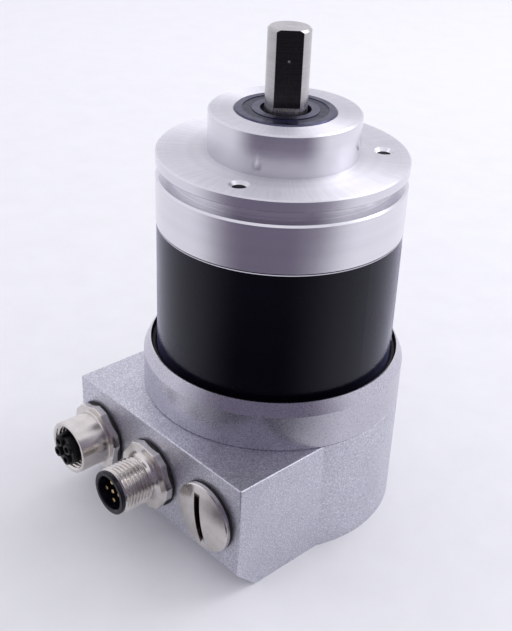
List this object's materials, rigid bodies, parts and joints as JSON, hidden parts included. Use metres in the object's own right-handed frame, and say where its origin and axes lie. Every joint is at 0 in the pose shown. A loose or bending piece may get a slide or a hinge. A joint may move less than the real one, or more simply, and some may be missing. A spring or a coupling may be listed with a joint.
{
  "type": "rotary encoder",
  "caption": "Absolute rotary encoder: turned flange with flatted shaft, black tube housing and a cast bus cover carrying two round threaded ports and a slotted blind plug.",
  "frame": {"origin": "on the shaft axis in the plane of the bus cover's flat underside", "axes": "+Z along the shaft towards its free end, -Y out of the face that carries the connectors, +X to the right seen from that face"},
  "size_m": [0.0666, 0.0851, 0.1225],
  "materials": {
    "turned_alu": "lathe-turned, bright",
    "bearing_steel": "dark ground steel",
    "ball_steel": "polished",
    "cage_steel": "pressed",
    "seal_rubber": "matt",
    "spring_steel": "phosphated",
    "shaft_steel": "ground",
    "disc_glass": "polished",
    "black_plastic": "fine satin",
    "chip_plastic": "moulded",
    "circuit_board": "solder mask",
    "nickel_brass": "nickel plated, satin",
    "gear_plastic": "moulded",
    "magnet": "sintered",
    "black_coat": "satin black",
    "label_film": "blank film",
    "cast_alu": "blasted casting",
    "cast_ring": "blasted, machined lip",
    "screw_steel": "zinc plated",
    "dial_plastic": "moulded",
    "switch_plastic": "moulded",
    "gold": "gold plated"
  },
  "bodies": {
    "housing": {"flange": "turned_alu", "front_outer_ring": "bearing_steel", "front_seals": "seal_rubber", "rear_outer_ring": "bearing_steel", "rear_seals": "seal_rubber", "wave_washer": "spring_steel", "retaining_ring": "spring_steel", "led_holder": "black_plastic", "optical_sensor": "chip_plastic", "sensor_board": "circuit_board", "stack_screws": "shaft_steel", "stack_sleeves": "nickel_brass", "axle_pins": "shaft_steel", "gear_plate_upper": "black_plastic", "gear_plate_lower": "black_plastic", "gear_board": "circuit_board", "hall_sensors": "chip_plastic", "housing_tube": "black_coat", "flange_oring": "seal_rubber", "blank_label": "label_film", "rear_plate": "turned_alu", "bulkhead_header": "black_plastic", "bus_cover": "cast_alu", "cover_ring": "cast_ring", "cover_seal": "seal_rubber", "cover_screws": "screw_steel", "interface_board": "circuit_board", "bus_socket": "black_plastic", "address_switches": "switch_plastic", "termination_switch": "switch_plastic", "m12_female_shell": "nickel_brass", "m12_female_insert": "black_plastic", "m12_female_contacts": "gold", "m12_male_shell": "nickel_brass", "m12_male_insert": "black_plastic", "m12_male_pins": "gold", "blind_plug": "nickel_brass", "port_gaskets": "seal_rubber"},
    "rotor": {"shaft": "shaft_steel", "front_inner_ring": "bearing_steel", "rear_inner_ring": "bearing_steel", "inner_spacer": "shaft_steel", "disc_hub": "turned_alu", "code_disc": "disc_glass", "drive_pinion": "nickel_brass"},
    "front_ball_set": {"front_balls": "ball_steel", "front_cage": "cage_steel"},
    "rear_ball_set": {"rear_balls": "ball_steel", "rear_cage": "cage_steel"},
    "turns_gear_1": {"gear_1": "gear_plastic", "magnet_1": "magnet"},
    "turns_gear_2": {"gear_2": "gear_plastic", "magnet_2": "magnet"},
    "turns_gear_3": {"gear_3": "gear_plastic", "magnet_3": "magnet"},
    "tens_dial": {"address_dial_tens": "dial_plastic"},
    "ones_dial": {"address_dial_ones": "dial_plastic"},
    "termination_knob": {"termination_slider": "dial_plastic"}
  },
  "joints": [
    {"name": "shaft_spin", "type": "hinge", "parent": "housing", "child": "rotor", "pos_m": [0, 0, 0.09], "axis": [0, 0, 1], "continuous": true},
    {"name": "front_ball_orbit", "type": "hinge", "parent": "housing", "child": "front_ball_set", "pos_m": [0, 0, 0.1007], "axis": [0, 0, 1], "continuous": true},
    {"name": "rear_ball_orbit", "type": "hinge", "parent": "housing", "child": "rear_ball_set", "pos_m": [0, 0, 0.081], "axis": [0, 0, 1], "continuous": true},
    {"name": "gear_1_spin", "type": "hinge", "parent": "housing", "child": "turns_gear_1", "pos_m": [0.012, 0, 0.048], "axis": [0, 0, 1], "continuous": true},
    {"name": "gear_2_spin", "type": "hinge", "parent": "housing", "child": "turns_gear_2", "pos_m": [0.006, 0.01039, 0.048], "axis": [0, 0, 1], "continuous": true},
    {"name": "gear_3_spin", "type": "hinge", "parent": "housing", "child": "turns_gear_3", "pos_m": [-0.006, 0.01039, 0.048], "axis": [0, 0, 1], "continuous": true},
    {"name": "tens_dial_turn", "type": "hinge", "parent": "housing", "child": "tens_dial", "pos_m": [-0.008, 0.0136, 0.0135], "axis": [0, 0, 1], "continuous": true},
    {"name": "ones_dial_turn", "type": "hinge", "parent": "housing", "child": "ones_dial", "pos_m": [0.008, 0.0136, 0.0135], "axis": [0, 0, 1], "continuous": true},
    {"name": "termination_slide", "type": "slide", "parent": "housing", "child": "termination_knob", "axis": [1, 0, 0], "range_m": [0, 0.0024]}
  ],
  "couplings": [
    {"joint": "front_ball_orbit", "follows": "shaft_spin", "ratio": 0.41181},
    {"joint": "rear_ball_orbit", "follows": "shaft_spin", "ratio": 0.41181},
    {"joint": "gear_1_spin", "follows": "shaft_spin", "ratio": -0.25},
    {"joint": "gear_2_spin", "follows": "shaft_spin", "ratio": 0.0625},
    {"joint": "gear_3_spin", "follows": "shaft_spin", "ratio": -0.015625}
  ]
}
